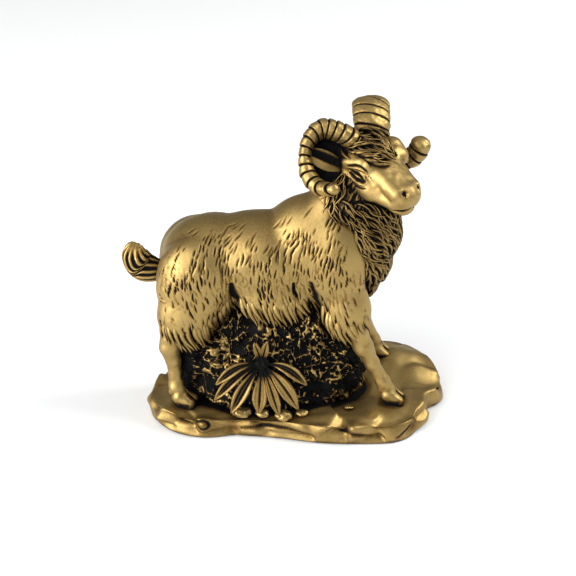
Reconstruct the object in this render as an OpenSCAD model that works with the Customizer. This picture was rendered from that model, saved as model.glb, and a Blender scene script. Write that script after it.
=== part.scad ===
// Ram figurine on a rock base: cold-cast sections pinned over steel wires, with a felt pad below.
// Frame: origin on the felt's rest face, +X the way the body faces, -Y the near side, +Z up.

/* [Base] */
// Length of the rock base along the body
base_length = 101; // [80:1:160]
// Height of the rock's top along its front edge
rock_height = 8; // [7:0.25:9]
// Extra height of the rock at its far right corner
rock_rise = 3.5; // [2:0.5:4]
// Thickness of the felt pad
felt_thickness = 0.8; // [0.6:0.1:1.5]
// How far the felt stands out of its recess
felt_proud = 0.3; // [0.2:0.1:0.5]
// Share of the rock's outline that the felt covers
felt_share = 0.92; // [0.8:0.01:0.95]

/* [Head and horns] */
// Turn of the head away from the body's line
head_turn = 48; // [40:1:55]
// Dip of the muzzle below level
head_dip = 12; // [5:1:18]
// Radius of each horn where it leaves the head
horn_radius = 3.7; // [3.2:0.1:4]
// Radius of each horn at its blunt tip
horn_tip_radius = 2.6; // [2:0.1:2.8]

/* [Plant] */
// Half the width of the broadest leaves
leaf_half_width = 2.1; // [1.5:0.1:2.3]
// Half the thickness of a leaf
leaf_half_thickness = 0.5; // [0.4:0.05:0.7]

/* [Pins and wires] */
// Diameter of the wire cast into each leg
wire_d = 1.6; // [1.2:0.1:2]
// Diameter of the dowel between the body and the head
dowel_d = 4; // [3:0.5:5]
// Diameter of the pins that hold the horns and the tail
pin_d = 1.6; // [1.2:0.1:2]

/* [Hidden] */

// The shapes below are set out for a base 101 long, and u scales them to the base's real length.
u = base_length / 101;
clearance = 0.05;
bore_sides = 32;
form_sides = 24;
limb_sides = 16;
gold = [0.70, 0.58, 0.36];
dark_gold = [0.36, 0.29, 0.17];
steel = [0.62, 0.63, 0.65];
felt_green = [0.13, 0.20, 0.15];

// Rock outline, anticlockwise from above, starting at the left end.
outline = [
    [-50.5, -5], [-48.5, -11], [-42, -18.5], [-32, -22], [-19, -21], [-6, -22.5], [7.5, -25.2],
    [21, -25.8], [32, -25], [38.5, -21], [41.3, -14], [43, -7], [49.5, -1], [50.3, 6], [48, 12.5],
    [43, 20.5], [36, 24.5], [27, 25.8], [12, 25.3], [-4, 24.3], [-20, 22.5], [-34, 19], [-43, 12],
    [-47.5, 4]
];

// Body masses as [x, y, z, half length, half width, half height].
barrel = [[-28.5, 0, 55.3, 16.5, 14, 15.5], [-12, 0, 56.2, 14, 15, 16], [4, 0, 60, 17, 13.5, 18.5]];
haunch = [[-32.5, -8, 51, 13, 8.5, 16], [-34, -9.5, 40.5, 10.5, 7, 9.5]];
shoulder = [[12, -8, 57, 11, 7, 17], [17, -9.5, 42, 7, 5, 11]];
neck = [[9, 0, 67, 13, 13, 12], [16.5, -1, 77, 11, 11, 10], [21.5, -2, 85, 9, 9, 8]];
mane = [
    [23, -2, 78, 10.5, 10, 10.5], [24, -2.5, 66, 10, 10, 10], [23, -2, 54, 9, 9, 9], [22, -1, 45, 5, 5, 5]
];
mound = [
    [-33, -2, 15, 6, 10.5, 14], [-21, -2.5, 19, 15, 13, 16], [-6, -3, 22, 20, 14, 20],
    [9, -2, 20, 14, 13, 18]
];

// Limbs as [x, y, z, radius], from the body down.
fore_near = [
    [17.5, -10.5, 37, 4], [21, -11, 29, 3.2], [25.8, -11, 20.5, 2.4], [29, -11, 15, 2.6],
    [31.2, -10.7, 11.5, 3.2]
];
fore_far = [
    [18, 10, 37, 4], [21.5, 11.7, 28, 3.2], [24.5, 13.2, 20, 2.5], [26, 14.3, 16, 2.8], [27.5, 15, 12.5, 3.2]
];
hind_near = [
    [-38.5, -10.5, 35, 4.5], [-41, -11, 28.5, 3.4], [-40, -11, 21, 2.5], [-39.5, -11.5, 14.5, 3],
    [-36.5, -12, 9.8, 3.3]
];
hind_far = [
    [-38.5, 9, 36, 4.5], [-42, 9, 28, 3.2], [-41.5, 9, 20, 2.4], [-40, 9, 13, 2.8], [-37, 9, 9.8, 3.3]
];
tail_path = [[-43.5, 0, 51.5, 3], [-48.5, 0.5, 51.5, 4.2], [-51.8, 1, 54.5, 4.2], [-52, 1, 58.5, 2.8]];

// Head masses and horn path in the head's own frame: x along the muzzle, y to the ram's left, z up.
head_at = [25.6, -2, 90];
skull = [[-5, 0, 0, 8.5, 8, 8.5], [6, 0, -2, 6, 5.6, 6], [14.3, 0, -3.4, 5, 4.6, 4.8]];
crest = [[-8, 0, 8, 5, 6, 3], [0, 0, 7.6, 4, 4.5, 2]];
ear = [[-8.5, -7, -2.5, 1.6, 1.5, 1.8], [-12, -12, 0, 2.2, 0.9, 2.6], [-15.5, -16.5, 1.3, 0.8, 0.5, 0.8]];
near_horn_path = [
    [-11.5, -5.7, 5.6], [-17.2, -10.5, 8.2], [-17, -17.5, 1.6], [-13.3, -19, -4.5], [-6.5, -18, -6.5],
    [-0.8, -18, -3.2]
];
web = [[-12, -8.5, 4, 5, 2, 3], [-10, -15.5, -3.5, 5, 2, 3]];
far_horn_path = [
    [-11.5, 5.7, 5.6], [-17.2, 10.5, 8.2], [-17, 17.5, 1.6], [-12.5, 19.5, -6.5], [-5.5, 19.5, -8.8],
    [-1.8, 20.3, 1.8]
];

// Straight steel pieces as [from, to].
fore_wires = [[[32.4, -10.8, 4.5], [17, -10.4, 40]], [[28.8, 15.6, 4.5], [17, 10, 40]]];
hind_wires = [[[-38.6, -11.4, 4.5], [-39.6, -10.6, 40]], [[-39, 9, 4.5], [-40, 9, 40]]];
neck_line = [[8, 0, 64], [23, -2, 87]];
tail_line = [[-36, 0, 53], [-50, 0.7, 51.8]];
horn_pin_line = [[-4, 2, 2.5], [-13, 7.2, 6.6]];

// Plant: crown centre, then each leaf as [angle round the crown, length, lift off the mound, width share].
crown_at = [-11.4, -17.2, 25];
crown_radius = 2.4;
leaf_plan = [
    [194, 13.5, 1.5, 0.8], [209, 16.5, 1.5, 0.8], [235, 16, 1, 1], [269, 12, 0.3, 1], [292, 14.5, 0.3, 0.8],
    [311, 15.5, 0.8, 1], [346, 12, 1.5, 0.8], [82, 5, 1.5, 0.5], [104, 5, 1.5, 0.5]
];
stones = [[-18, -18.6, 1.4], [-12.5, -19.2, 1.1], [-4.5, -20.3, 1.3], [1.5, -19.6, 1.2], [17, -15.5, 1.0]];

function ramp(v, a, b) = let (t = max(0, min(1, (v - a) / (b - a)))) t * t * (3 - 2 * t);
function rock_top(p) = rock_height + rock_rise * ramp(p.x, 15, 35) * ramp(p.y, 0, 15);
function ring(share, low, high) =
    [for (p = outline) [p.x * share * u, p.y * share * u, low + high * rock_top(p * share) * u]];
function flip_y(rows) = [for (r = rows) [for (i = [0:len(r) - 1]) i == 1 ? -r[i] : r[i]]];
function spline(a, b, c, d, t) =
    0.5 * (2 * b + (c - a) * t + (2 * a - 5 * b + 4 * c - d) * t * t + (3 * b - a - 3 * c + d) * t * t * t);
function along(path, s) = let (n = len(path) - 1, i = min(floor(s), n - 1))
    spline(path[max(i - 1, 0)], path[i], path[i + 1], path[min(i + 2, n)], s - i);
function leaf_direction(angle) = [cos(angle), 0.17 * sin(angle), 0.98 * sin(angle)];

// One rounded mass, from a row of centre and half sizes or of centre and radius.
module blob(row, sides) {
    size = len(row) > 4 ? [row[3], row[4], row[5]] : [row[3], row[3], row[3]];
    translate([row[0], row[1], row[2]] * u) scale(size * u) sphere(r = 1, $fn = sides);
}

module chain(rows, sides = form_sides) {
    for (i = [0:len(rows) - 2]) hull() { blob(rows[i], sides); blob(rows[i + 1], sides); }
}

// Straight round bar between two points, longer and thicker than its line by the amounts given.
module bar(line, diameter, extra = 0) {
    step = (line[1] - line[0]) * u;
    size = norm(step);
    translate(line[0] * u) rotate([0, acos(step.z / size), atan2(step.y, step.x)])
        translate([0, 0, -extra]) cylinder(d = diameter + 2 * extra, h = size + 2 * extra, $fn = bore_sides);
}

module in_head() { translate(head_at * u) rotate([0, head_dip, -head_turn]) children(); }

// The pin between the head and one horn, with side -1 for the near horn and 1 for the far one.
module horn_pin(side, extra = 0) {
    in_head() bar(side > 0 ? horn_pin_line : flip_y(horn_pin_line), pin_d, extra);
}

// Closed skin over stacked rings that all have the same number of points.
module skin(rings) {
    n = len(rings[0]);
    last = len(rings) - 1;
    points = [for (r = rings) each r];
    sides = [
        for (k = [0:last - 1], i = [0:n - 1]) let (a = k * n + i, b = k * n + (i + 1) % n)
            each [[a, b + n, b], [a, a + n, b + n]]
    ];
    bottom = [for (i = [0:n - 1]) i];
    top = [for (i = [n - 1:-1:0]) last * n + i];
    polyhedron(points, concat([bottom], sides, [top]));
}

module rock_form() {
    skin([
        ring(0.975, felt_proud, 0), ring(1, felt_proud + 1.2, 0), ring(0.985, -1.4, 1),
        ring(0.95, 0, 1), ring(0.5, 0, 1)
    ]);
}

// Felt outline, grown by extra on every side to make the recess that it sits in.
module felt_form(extra) {
    edge = [for (p = outline) p * felt_share * u + [sign(p.x), sign(p.y)] * extra];
    linear_extrude(felt_thickness + extra) polygon(edge);
}

module torso_form() {
    chain(barrel);
    chain(haunch);
    chain(flip_y(haunch));
    chain(shoulder);
    chain(flip_y(shoulder));
}

module neck_form() { chain(neck); chain(mane); }

module head_form() { in_head() chain(skull); }

// A horn is thicker across the curl than in its plane, and both sizes shrink evenly to the blunt tip.
module horn_form(side) {
    steps = 14;
    path = side < 0 ? near_horn_path : far_horn_path;
    rows = [for (i = [0:steps]) let (
            p = along(path, i / steps * (len(path) - 1)),
            r = horn_radius + (horn_tip_radius - horn_radius) * i / steps,
            wide = r * (1.3 - 0.2 * i / steps))
        [p.x, p.y, p.z, r, wide, r]];
    in_head() chain(rows, limb_sides);
}

// A web closes each curl behind the ear, because a mould can't draw a hole there.
module web_form(side) { in_head() chain(side < 0 ? web : flip_y(web), limb_sides); }

module ear_form(side) { in_head() chain(side < 0 ? ear : flip_y(ear), limb_sides); }

module thicket_form() { chain(mound); }

module leg_forms() { for (leg = [fore_near, fore_far, hind_near, hind_far]) chain(leg, limb_sides); }

module wire_bores() { for (w = concat(fore_wires, hind_wires)) bar(w, wire_d, clearance); }

module crown_form() { blob(concat(crown_at, [crown_radius, 1.6, crown_radius]), limb_sides); }

module felt_pad() { color(felt_green) felt_form(0); }

module rock_base() {
    color(gold) difference() {
        rock_form();
        translate([0, 0, -clearance]) felt_form(2 * clearance);
        wire_bores();
    }
}

module thicket() {
    color(dark_gold) difference() {
        thicket_form();
        rock_form();
        torso_form();
        leg_forms();
        crown_form();
        translate([-100, -100, -100] * u) cube([200, 200, 100 + rock_height / 2] * u);
    }
}

module pebbles() {
    color(gold) difference() {
        for (s = stones) blob([s.x, s.y, rock_height + 0.2, s.z * 1.3, s.z, s.z * 0.7], limb_sides);
        rock_form();
        thicket_form();
    }
}

module torso() {
    color(gold) difference() {
        torso_form();
        wire_bores();
        bar(neck_line, dowel_d, clearance);
        bar(tail_line, pin_d, clearance);
    }
}

module neck_mane() {
    color(dark_gold) difference() {
        neck_form();
        torso_form();
        head_form();
        bar(neck_line, dowel_d, clearance);
    }
}

module head() {
    color(gold) difference() {
        head_form();
        bar(neck_line, dowel_d, clearance);
        for (side = [-1, 1]) horn_pin(side, clearance);
    }
}

module forelock() {
    color(dark_gold) difference() {
        in_head() chain(crest);
        head_form();
        neck_form();
        horn_form(-1);
        horn_form(1);
    }
}

module horn(side) {
    color(gold) difference() {
        union() {
            horn_form(side);
            difference() {
                web_form(side);
                ear_form(side);
            }
        }
        head_form();
        neck_form();
        horn_pin(side, clearance);
    }
}

module ear_piece(side) {
    color(gold) difference() {
        ear_form(side);
        head_form();
        neck_form();
        horn_form(side);
    }
}

module tail() {
    color(gold) difference() {
        chain(tail_path);
        torso_form();
        bar(tail_line, pin_d, clearance);
    }
}

module leg(rows) {
    color(gold) difference() {
        chain(rows, limb_sides);
        torso_form();
        rock_form();
        wire_bores();
    }
}

module leaf_crown() { color(gold) crown_form(); }

// A leaf leaves the crown, widens to its middle and runs out to a point while it lifts off the mound.
module leaf(number) {
    plan = leaf_plan[number - 1];
    steps = 9;
    rows = [for (i = [0:steps]) let (
            s = i / steps,
            reach = crown_radius + 0.7 + plan[1] * s,
            p = crown_at + leaf_direction(plan[0]) * reach + [0, -1.5 - plan[2] * s * s, -1.2 * s * s],
            swell = pow(sin(180 * pow(0.12 + 0.86 * s, 0.8)), 0.8),
            half = max(0.25, leaf_half_width * plan[3] * swell))
        [p.x, p.y, p.z, half, leaf_half_thickness * (1 - 0.5 * s), half]];
    color(gold) difference() {
        chain(rows, 10);
        crown_form();
        thicket_form();
        rock_form();
    }
}

module foreleg_wires() { color(steel) for (w = fore_wires) bar(w, wire_d); }

module hind_leg_wires() { color(steel) for (w = hind_wires) bar(w, wire_d); }

module neck_dowel() { color(steel) bar(neck_line, dowel_d); }

module tail_pin() { color(steel) bar(tail_line, pin_d); }

module horn_pins() { color(steel) for (side = [-1, 1]) horn_pin(side); }

felt_pad();
rock_base();
thicket();
pebbles();
torso();
neck_mane();
head();
forelock();
horn(-1);  // horn_near
horn(1);  // horn_far
ear_piece(-1);  // ear_near
ear_piece(1);  // ear_far
tail();
leg(fore_near);  // foreleg_near
leg(fore_far);  // foreleg_far
leg(hind_near);  // hind_leg_near
leg(hind_far);  // hind_leg_far
leaf_crown();
leaf(1);  // leaf_1
leaf(2);  // leaf_2
leaf(3);  // leaf_3
leaf(4);  // leaf_4
leaf(5);  // leaf_5
leaf(6);  // leaf_6
leaf(7);  // leaf_7
leaf(8);  // leaf_8
leaf(9);  // leaf_9
foreleg_wires();
hind_leg_wires();
neck_dowel();
horn_pins();
tail_pin();
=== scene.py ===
# %% [markdown]
# # A ram figurine cast in metal-filled resin
# The real object is a small cast ram on a rock, painted antique gold and rubbed over a black wash.
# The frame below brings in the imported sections, whose sizes and places are fixed.
# Every visible section is then modelled again as a finished surface that stands for its plain one.

# %% Load the frame
import math

import bpy
import numpy as np
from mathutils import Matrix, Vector


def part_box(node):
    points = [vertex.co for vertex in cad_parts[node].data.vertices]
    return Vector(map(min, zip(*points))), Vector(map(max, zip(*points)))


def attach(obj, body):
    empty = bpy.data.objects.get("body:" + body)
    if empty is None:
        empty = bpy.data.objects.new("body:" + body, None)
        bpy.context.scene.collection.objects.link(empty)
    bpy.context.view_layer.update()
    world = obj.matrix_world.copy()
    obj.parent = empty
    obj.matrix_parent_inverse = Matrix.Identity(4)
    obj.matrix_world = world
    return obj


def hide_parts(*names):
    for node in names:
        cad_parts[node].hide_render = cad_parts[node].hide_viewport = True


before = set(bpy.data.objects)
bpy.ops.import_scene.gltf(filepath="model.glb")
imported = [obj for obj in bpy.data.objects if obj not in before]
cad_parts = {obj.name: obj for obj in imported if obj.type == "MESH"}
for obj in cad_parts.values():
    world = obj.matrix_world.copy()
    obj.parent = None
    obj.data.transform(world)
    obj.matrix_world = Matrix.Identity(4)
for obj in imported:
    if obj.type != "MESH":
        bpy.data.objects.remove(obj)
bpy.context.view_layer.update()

# %% [markdown]
# The sections were set out in millimetres for a rock 100.8 mm long, so one unit of length is enough
# to carry every size over: the rock's real length over 100.8. All the shapes below are worked out in
# those millimetres, and each mesh is scaled by MM when it is made.

# %% Unit of length and named places
ROCK_LENGTH, ROCK_TOP = 100.8, 8.0
rock_low, rock_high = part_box("rock_base")
MM = (rock_high.x - rock_low.x) / ROCK_LENGTH
X, Y, Z = np.eye(3)
SIDES = ((-1, "near"), (1, "far"))
random = np.random.default_rng(7)
HEAD_AT = np.array([25.6, -2.0, 90.0])
HEAD_TURN, HEAD_DIP = math.radians(48), math.radians(12)
forward = np.array([math.cos(HEAD_TURN) * math.cos(HEAD_DIP),
                    -math.sin(HEAD_TURN) * math.cos(HEAD_DIP), -math.sin(HEAD_DIP)])
left = np.array([math.sin(HEAD_TURN), math.cos(HEAD_TURN), 0.0])
HEAD_AXES = np.stack([forward, left, np.cross(forward, left)])
print("one millimetre is", round(MM, 6), "m")


def in_head(points):
    """Place in the row's frame of points given along the muzzle, to the ram's left and up."""
    return HEAD_AT + np.asarray(points, float) @ HEAD_AXES


def to_head(points):
    """The other way: points in the row's frame, given along the muzzle, to the left and up."""
    return (points - HEAD_AT) @ HEAD_AXES.T


# %% [markdown]
# Five small tools do most of the arithmetic. A ramp eases from 0 to 1, unit() gives directions and
# turns() angles, a spline runs a smooth curve through a few given rows, and lattice noise
# gives the slow unevenness that a modelling tool leaves.

# %% Arithmetic helpers
def unit(v):
    """Vectors of length one in the same directions."""
    return v / np.maximum(np.linalg.norm(v, axis=-1, keepdims=True), 1e-9)


def turns(count):
    """Evenly spaced angles round a full turn."""
    return np.linspace(0, 2 * math.pi, count, endpoint=False)


def ramp(v, start, end):
    """Eased step: 0 at start, 1 at end, three t squared less two t cubed between. It may fall."""
    t = np.clip((v - start) / (end - start), 0, 1)
    return t * t * (3 - 2 * t)


def spline(rows, count):
    """Catmull-Rom curve through the rows, at even steps of its length in the first three columns."""
    rows = np.asarray(rows, float)
    ends = np.vstack([2 * rows[0] - rows[1], rows, 2 * rows[-1] - rows[-2]])
    s = np.linspace(0, len(rows) - 1, 60 * len(rows))
    i = np.minimum(s.astype(int), len(rows) - 2)
    t = (s - i)[:, None]
    a, b, c, d = ends[i], ends[i + 1], ends[i + 2], ends[i + 3]
    square, cube = 2 * a - 5 * b + 4 * c - d, 3 * b - a - 3 * c + d
    curve = 0.5 * (2 * b + (c - a) * t + square * t**2 + cube * t**3)
    run = np.concatenate([[0], np.cumsum(np.linalg.norm(np.diff(curve[:, :3], axis=0), axis=1))])
    even = np.linspace(0, run[-1], count)
    return np.stack([np.interp(even, run, column) for column in curve.T], 1)


def lattice_noise(p, size, seed):
    """Value noise from -1 to 1: a hashed number on each corner of a grid, eased between corners."""
    q = p / size + 100.0
    cell = np.floor(q).astype(np.int64)
    t = q - cell
    t = t * t * (3 - 2 * t)
    total = np.zeros(p.shape[:-1])
    for corner in np.ndindex(2, 2, 2):
        k = cell + np.array(corner)
        number = (k[..., 0] * 73856093) ^ (k[..., 1] * 19349663) ^ (k[..., 2] * 83492791)
        number = number ^ (seed * 2654435761)
        number = (number ^ (number >> 13)) * 1274126177 & 0x7FFFFFFF
        weight = np.prod(np.where(np.array(corner) == 1, t, 1 - t), axis=-1)
        total += weight * (number / 0x3FFFFFFF - 1)
    return total


# %% [markdown]
# ## Masses, and a skin cast over them
# A sculptor starts with lumps of wax pressed together. Here each lump is a distance field: an
# ellipsoid, or a limb that tapers between two points. A smooth minimum presses them together, with
# one number for how soft the joins are. The skin is then a surface of two parameters: rays leave a
# spine square to it, fan out round its two ends, and each vertex is where its ray leaves the lumps.

# %% Lumps and their smooth union
def mass(x, y, z, length, width, height):
    """Ellipsoid lump with its centre and half sizes."""
    return np.array([x, y, z], float), np.array([length, width, height], float)


def limb(start, end, start_radius, end_radius):
    """Lump that tapers between two points."""
    return np.array(start, float), np.array(end, float), start_radius, end_radius


def mirrored(lump):
    """The same lump on the ram's other side."""
    flip = np.array([1, -1, 1])
    if len(lump) == 2:
        return lump[0] * flip, lump[1]
    return lump[0] * flip, lump[1] * flip, *lump[2:]


def distance(lump, p):
    """Signed distance to a lump, close to true near its surface and negative inside."""
    if len(lump) == 2:
        q = p - lump[0]
        near = np.linalg.norm(q / lump[1], axis=-1)
        return near * (near - 1) / np.maximum(np.linalg.norm(q / lump[1]**2, axis=-1), 1e-6)
    start, end, start_radius, end_radius = lump
    line = end - start
    t = np.clip((p - start) @ line / (line @ line), 0, 1)
    away = np.linalg.norm(p - start - t[..., None] * line, axis=-1)
    return away - start_radius - (end_radius - start_radius) * t


def pressed(lumps, soft):
    """Field of all the lumps: minus soft times the log of the sum of exp(-distance / soft)."""
    def field(p):
        near = np.stack([distance(lump, p) for lump in lumps])
        least = near.min(0)
        return least - soft * np.log(np.exp((least - near) / soft).sum(0))
    return field


def outward(field, p, step=0.05):
    """Unit gradient of a field by central differences."""
    slopes = [field(p + step * axis) - field(p - step * axis) for axis in (X, Y, Z)]
    return unit(np.stack(slopes, -1))


# %% Cast a skin over a field
SAMPLES, HALVINGS = 30, 9


def axes_along(line, up):
    """Direction, side and normal at each point of a line, with the normal leaning towards up."""
    direction = unit(np.gradient(line, axis=0))
    side = unit(np.cross(direction, np.broadcast_to(up, line.shape)))
    return direction, side, np.cross(side, direction)


def leave(field, origin, direction, reach):
    """Distance along each ray to the last place where it leaves the lumps: samples, then halving."""
    steps = np.linspace(0, reach, SAMPLES)
    last = np.zeros(origin.shape[:-1])
    for step in steps[:-1]:
        last = np.where(field(origin + direction * step) < 0, step, last)
    low, high = last, last + steps[1]
    for _ in range(HALVINGS):
        middle = (low + high) / 2
        inside = field(origin + direction * middle[..., None]) < 0
        low, high = np.where(inside, middle, low), np.where(inside, high, middle)
    return (low + high) / 2


def cast(field, spine, reach, rows, columns, cap_rows, up=Z):
    """Skin over a field: rows along the spine, rows that fan over its ends, columns round it."""
    line = spline(spine, rows)
    direction, side, normal = axes_along(line, up)
    tilt = np.linspace(0, math.pi / 2, cap_rows, endpoint=False)[1:]
    tilt = np.concatenate([-tilt[::-1], np.zeros(rows), tilt])
    at = np.clip(np.arange(rows + 2 * (cap_rows - 1)) - (cap_rows - 1), 0, rows - 1)
    turn = turns(columns)[None, :, None]
    round_about = np.cos(turn) * side[at][:, None] + np.sin(turn) * normal[at][:, None]
    tilt = tilt[:, None, None]
    ray = np.cos(tilt) * round_about + np.sin(tilt) * direction[at][:, None]
    origin = np.broadcast_to(line[at][:, None], ray.shape)
    grid = origin + ray * leave(field, origin, ray, reach)[..., None]
    tips = np.stack([line[0], line[-1]])
    tip_ray = np.stack([-direction[0], direction[-1]])
    tips = tips + tip_ray * leave(field, tips, tip_ray, reach)[:, None]
    return Skin(grid, tips)


# %% [markdown]
# A skin keeps its grid and two more numbers at each vertex: how far the surface is pushed in or out,
# and how much black wash lies there. Grooves are cut with short strokes, as with a modelling tool: a
# stroke is long and thin, tapers at both ends, may bend, and leaves wash in its bottom.

# %% Skins and strokes
class Skin:
    """Grid of vertices, its two end points, and each vertex's push outwards and share of wash."""

    def __init__(self, grid, tips):
        self.grid, self.tips = grid, tips
        self.height = np.zeros(grid.shape[:2])
        self.wash = np.zeros(grid.shape[:2])
        self.normal = self.find_normal()

    def find_normal(self):
        """Unit cross product of the two grid directions, turned to point away from the middle."""
        round_about = np.roll(self.grid, -1, 1) - np.roll(self.grid, 1, 1)
        normal = unit(np.cross(round_about, np.gradient(self.grid, axis=0)))
        middle = self.grid.mean(1, keepdims=True)
        return normal * np.sign(((self.grid - middle) * normal).sum())

    def nearest(self, points):
        """Row and column of the vertex nearest to each point, among every second vertex."""
        coarse = self.grid[::2, ::2]
        flat = coarse.reshape(-1, 3)
        found = np.array([((flat - p)**2).sum(1).argmin() for p in np.atleast_2d(points)])
        return found // coarse.shape[1] * 2, found % coarse.shape[1] * 2

    def window(self, row, column, size):
        """Rows and columns of the patch of that size round one vertex, wrapping round the skin."""
        after, before = min(row + 1, len(self.grid) - 1), max(row - 1, 0)
        beside = self.grid[after, column] - self.grid[before, column]
        around = self.grid[row, (column + 1) % self.grid.shape[1]] - self.grid[row, column]
        high = int(min(90, size / max(np.linalg.norm(beside) / 2, 0.05))) + 1
        wide = int(min(90, size / max(np.linalg.norm(around), 0.05))) + 1
        rows = np.arange(max(row - high, 0), min(row + high + 1, len(self.grid)))
        return np.ix_(rows, np.arange(column - wide, column + wide + 1) % self.grid.shape[1])

    def stroke(self, at, flow, length, width, depth, bend=0.0, wash=1.0, wedge=1.0):
        """Groove about one vertex: depth times a taper times exp(-(distance / width) squared). The
        taper is the sine of pi times s to the power wedge, so above 1 it is widest near its end."""
        normal = self.normal[at]
        flow = unit(flow - (flow @ normal) * normal)
        patch = self.window(*at, length / 2 + 2 * width)
        away = self.grid[patch] - self.grid[at]
        s = away @ flow / length + 0.5
        across = away @ np.cross(normal, flow) - bend * length * (2 * s - 1)**2
        taper = np.sin(math.pi * np.clip(s, 0, 1)**wedge)**0.7
        near = np.exp(-(across / (width * (0.25 + 0.75 * taper)))**2) * taper
        near = near * (np.abs(away @ normal) < length)
        rim = np.exp(-((np.abs(across) - 1.9 * width) / width)**2) * taper
        self.height[patch] = np.minimum(self.height[patch], -depth * near) + 0.1 * depth * rim
        self.wash[patch] = np.maximum(self.wash[patch], wash * near)

    def line(self, points, width, depth, wash=1.0, count=24):
        """Groove (or ridge, for a negative depth) along a curve through the points. The curve is
        laid on the nearest vertices, then smoothed three times by quarter, half and quarter."""
        curve = spline(points, count)
        row, column = self.nearest(curve)
        size = np.ptp(curve, axis=0).max() / 1.5 + 4 * width
        patch = self.window(row[count // 2], column[count // 2], size)
        curve = self.grid[row, column]
        for _ in range(3):
            curve[1:-1] = (curve[:-2] + 2 * curve[1:-1] + curve[2:]) / 4
        away = self.grid[patch][..., None, :] - curve
        far = np.linalg.norm(away, axis=-1)
        taper = np.sin(np.linspace(0.12, 1, count) * math.pi * 0.97)[far.argmin(-1)]**0.5
        near = np.exp(-(far.min(-1) / (width * (0.4 + 0.6 * taper)))**2) * taper
        self.height[patch] -= depth * near
        self.wash[patch] = np.maximum(self.wash[patch], wash * near)

    def settle(self, hollow=0.35):
        """Push the grid out by its height, then add wash where it lies below its neighbours."""
        self.grid = self.grid + self.normal * self.height[..., None]
        around = (np.roll(self.grid, 2, 1) + np.roll(self.grid, -2, 1)) / 2
        along = (np.roll(self.grid, 2, 0) + np.roll(self.grid, -2, 0)) / 2
        below = ((around - self.grid) * self.normal).sum(-1)
        beside = ((along - self.grid) * self.normal).sum(-1)
        beside[:2], beside[-2:] = 0, 0
        self.wash = np.clip(self.wash + np.clip((below + beside) / hollow, -0.3, 0.5), 0, 1)
        return self


# %% [markdown]
# One function turns arrays into a mesh: corners in metres, four-cornered faces between rows and
# columns, a fan at each end, faces turned outwards by the sign of the volume that they enclose, and
# the wash stored as an attribute for the finish to read.

# %% Arrays to meshes
def make_mesh(name, points, quads, fans, wash, material):
    """Mesh object from arrays, with its faces outwards and its wash in an attribute."""
    sides = [points[quads[:, k]] for k in (0, 1, 2)]
    volume = (np.cross(sides[0], sides[1]) * sides[2]).sum()
    if volume < 0:
        quads, fans = quads[:, ::-1], fans[:, ::-1]
    corners = np.concatenate([quads.ravel(), fans.ravel()])
    totals = np.concatenate([np.full(len(quads), 4), np.full(len(fans), 3)])
    mesh = bpy.data.meshes.new(name)
    mesh.vertices.add(len(points))
    mesh.vertices.foreach_set("co", (points * MM).astype(np.float32).ravel())
    mesh.loops.add(len(corners))
    mesh.loops.foreach_set("vertex_index", corners.astype(np.int32))
    mesh.polygons.add(len(totals))
    mesh.polygons.foreach_set("loop_start", (np.cumsum(totals) - totals).astype(np.int32))
    mesh.polygons.foreach_set("use_smooth", np.ones(len(totals), bool))
    mesh.update(calc_edges=True)
    mesh.validate()
    stored = mesh.attributes.new("wash", "FLOAT", "POINT")
    stored.data.foreach_set("value", wash.astype(np.float32).ravel())
    mesh.materials.append(material)
    piece = bpy.data.objects.new(name, mesh)
    bpy.context.scene.collection.objects.link(piece)
    print(f"{name}: {len(points)} vertices, {len(quads) * 2 + len(fans)} triangles")
    return piece


def tube_faces(count, rows, columns):
    """Faces of closed tubes whose vertices follow one another, each with two end points."""
    i, j = np.meshgrid(np.arange(rows - 1), np.arange(columns), indexing="ij")
    k = (j + 1) % columns
    near, far = i * columns, (i + 1) * columns
    quads = np.stack([near + j, near + k, far + k, far + j], -1).reshape(-1, 4)
    j = np.arange(columns)
    k = (j + 1) % columns
    first, last = rows * columns, rows * columns + 1
    start = np.stack([np.full(columns, first), k, j], -1)
    end = np.stack([np.full(columns, last), (rows - 1) * columns + j, (rows - 1) * columns + k], -1)
    fans = np.concatenate([start, end])
    step = np.arange(count)[:, None, None] * (rows * columns + 2)
    return (quads + step).reshape(-1, 4), (fans + step).reshape(-1, 3)


def finish_piece(piece, *nodes, slot="antique_gold"):
    """Tie a piece to the figurine's one body and hide the sections it stands for. slot is not used.
    """
    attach(piece, "root")
    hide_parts(*nodes)


def finish_skin(name, skin, material, *nodes):
    """Mesh piece from a finished skin, tied in the same way."""
    points = np.concatenate([skin.grid.reshape(-1, 3), skin.tips])
    wash = np.concatenate([skin.wash.ravel(), [skin.wash[0].mean(), skin.wash[-1].mean()]])
    quads, fans = tube_faces(1, *skin.wash.shape)
    finish_piece(make_mesh(name, points, quads, fans, wash, material), *nodes)


# %% [markdown]
# ## The finish: antique gold over a black wash
# The casting is sprayed black, then gold paste is rubbed on with a cloth. Gold stays on what
# stands out and black in what lies deep, with a ragged edge between. The wash attribute says
# where the surface is cut. Ambient occlusion over about two millimetres finds the hollows between
# pieces. A fine noise makes the edge ragged, and a slow one varies how much gold was rubbed on.
# The gold itself is metallic paste: metallic near 1, soft highlights, fine grain.

# %% Material helpers
NOISE_ROUGHNESS = 0.55


def linear(code):
    """Linear colour with alpha from an sRGB hex code."""
    values = np.array([int(code[k:k + 2], 16) / 255 for k in (0, 2, 4)])
    values = np.where(values <= 0.04045, values / 12.92, ((values + 0.055) / 1.055)**2.4)
    return (*values, 1.0)


def add_node(tree, kind, settings=(), values=(), links=()):
    """Add one node, set its properties and socket values, and link its inputs."""
    node = tree.nodes.new(kind)
    for key, value in dict(settings).items():
        setattr(node, key, value)
    for key, value in dict(values).items():
        node.inputs[key].default_value = value
    for key, socket in dict(links).items():
        tree.links.new(socket, node.inputs[key])
    return node


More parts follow.
